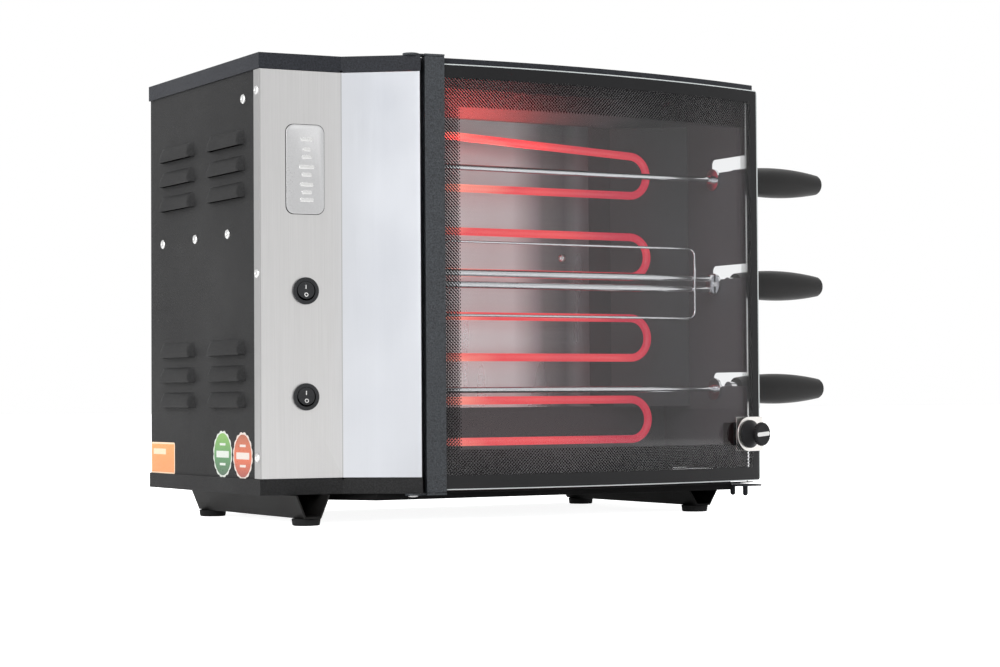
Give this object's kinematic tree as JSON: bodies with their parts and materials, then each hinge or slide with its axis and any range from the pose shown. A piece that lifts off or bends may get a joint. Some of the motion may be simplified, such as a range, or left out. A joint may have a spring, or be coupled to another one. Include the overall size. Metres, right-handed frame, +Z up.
{
  "type": "electric skewer grill",
  "caption": "Upright electric rotisserie grill with a curved glass door, turning skewers before glowing heaters, a folded steel control panel and a slide-out drip tray.",
  "frame": {"origin": "middle of the bounding box in plan, on the table under the rubber feet", "axes": "+Z up, +X to the right along the front, towards the skewer handles, and +Y to the back"},
  "size_m": [0.6152, 0.309, 0.4028],
  "materials": {
    "powder_coat": "fine-textured black powder coat",
    "stile_coat": "coarse-textured dark grey powder coat",
    "inner_coat": "smooth dark grey heat-proof paint",
    "panel_steel": "vertical brushed stainless steel",
    "mirror_steel": "polished stainless steel",
    "badge_metal": "bright embossed plate",
    "rivet_metal": "bright dome rivet",
    "plated_steel": "nickel-plated steel",
    "zinc_steel": "zinc-plated steel",
    "switch_plastic": "semi-gloss black plastic",
    "knob_plastic": "semi-gloss black plastic",
    "handle_plastic": "matt black phenolic",
    "foot_rubber": "matt black rubber",
    "gland_rubber": "matt black rubber",
    "gasket_silicone": "black silicone",
    "magnet_plastic": "black plastic magnet case",
    "heater_glow": "glowing quartz heater tube",
    "ceramic_white": "white steatite ceramic",
    "terminal_brass": "brass blade",
    "gear_nylon": "natural nylon gear",
    "bush_brass": "sintered bronze",
    "door_glass": "smoked tempered glass with a black dot border",
    "terminal_plastic": "white nylon",
    "tray_steel": "dark enamelled steel"
  },
  "bodies": {
    "cabinet": {"left_side_panel": "powder_coat", "back_panel": "powder_coat", "top_cover": "powder_coat", "compartment_floor": "powder_coat", "base_pan": "powder_coat", "right_wall": "inner_coat", "chamber_partition": "inner_coat", "chamber_rear_wall": "inner_coat", "rear_reflector": "mirror_steel", "reflector_screw": "rivet_metal", "control_panel": "panel_steel", "badge_plate": "badge_metal", "side_rivets": "rivet_metal", "panel_rivets": "rivet_metal", "upper_switch_body": "switch_plastic", "lower_switch_body": "switch_plastic", "left_foot_bracket": "powder_coat", "right_foot_bracket": "powder_coat", "rubber_feet": "foot_rubber", "hinge_plates": "stile_coat", "hinge_pins": "zinc_steel", "hinge_screws": "zinc_steel", "door_magnet": "magnet_plastic", "heater_1": "heater_glow", "heater_2": "heater_glow", "heater_3": "heater_glow", "heater_4": "heater_glow", "heater_insulators": "ceramic_white", "heater_terminals": "terminal_brass", "gear_plate": "zinc_steel", "plate_standoffs": "zinc_steel", "idler_studs": "zinc_steel", "spindle_bushes": "bush_brass", "gear_motor": "zinc_steel", "terminal_block": "terminal_plastic", "cord_gland": "gland_rubber", "tray_rails": "zinc_steel"},
    "door": {"door_stile": "stile_coat", "door_gasket": "gasket_silicone", "door_glass": "door_glass", "door_bushes": "terminal_plastic", "knob_clip": "plated_steel", "knob_base": "knob_plastic", "door_knob": "knob_plastic"},
    "upper_rocker": {"upper_rocker": "switch_plastic"},
    "lower_rocker": {"lower_rocker": "switch_plastic"},
    "tray_drawer": {"drip_tray": "tray_steel", "tray_pull": "powder_coat"},
    "top_spit": {"top_spindle": "zinc_steel", "top_skewer": "plated_steel", "top_handle": "handle_plastic"},
    "middle_spit": {"middle_spindle": "zinc_steel", "middle_skewer": "plated_steel", "middle_handle": "handle_plastic"},
    "bottom_spit": {"bottom_spindle": "zinc_steel", "bottom_skewer": "plated_steel", "bottom_handle": "handle_plastic"},
    "upper_idler": {"upper_idler": "gear_nylon"},
    "lower_idler": {"lower_idler": "gear_nylon"},
    "pinion": {"motor_pinion": "gear_nylon"}
  },
  "joints": [
    {"name": "door_hinge", "type": "hinge", "parent": "cabinet", "child": "door", "pos_m": [-0.16356, -0.14108, 0.213], "axis": [0, 0, -1], "range_deg": [0, 105]},
    {"name": "upper_rocker_tilt", "type": "hinge", "parent": "cabinet", "child": "upper_rocker", "pos_m": [-0.26287, -0.09846, 0.1986], "axis": [0.9944, -0.1054, 0], "range_deg": [0, 14]},
    {"name": "lower_rocker_tilt", "type": "hinge", "parent": "cabinet", "child": "lower_rocker", "pos_m": [-0.26287, -0.09846, 0.1087], "axis": [0.9944, -0.1054, 0], "range_deg": [0, 14]},
    {"name": "tray_slide", "type": "slide", "parent": "cabinet", "child": "tray_drawer", "axis": [1, 0, 0], "range_m": [0, 0.24]},
    {"name": "middle_spin", "type": "hinge", "parent": "cabinet", "child": "middle_spit", "pos_m": [-0.154, -0.07251, 0.214], "axis": [1, 0, 0], "continuous": true},
    {"name": "top_spin", "type": "hinge", "parent": "cabinet", "child": "top_spit", "pos_m": [-0.154, -0.07251, 0.314], "axis": [1, 0, 0], "continuous": true},
    {"name": "bottom_spin", "type": "hinge", "parent": "cabinet", "child": "bottom_spit", "pos_m": [-0.154, -0.07251, 0.114], "axis": [1, 0, 0], "continuous": true},
    {"name": "upper_idler_spin", "type": "hinge", "parent": "cabinet", "child": "upper_idler", "pos_m": [-0.154, -0.07251, 0.264], "axis": [1, 0, 0], "continuous": true},
    {"name": "lower_idler_spin", "type": "hinge", "parent": "cabinet", "child": "lower_idler", "pos_m": [-0.154, -0.07251, 0.164], "axis": [1, 0, 0], "continuous": true},
    {"name": "pinion_spin", "type": "hinge", "parent": "cabinet", "child": "pinion", "pos_m": [-0.154, -0.07251, 0.069], "axis": [1, 0, 0], "continuous": true}
  ],
  "couplings": [
    {"joint": "top_spin", "follows": "middle_spin", "ratio": 1},
    {"joint": "bottom_spin", "follows": "middle_spin", "ratio": 1},
    {"joint": "upper_idler_spin", "follows": "middle_spin", "ratio": -1},
    {"joint": "lower_idler_spin", "follows": "middle_spin", "ratio": -1},
    {"joint": "pinion_spin", "follows": "middle_spin", "ratio": -1.25}
  ]
}
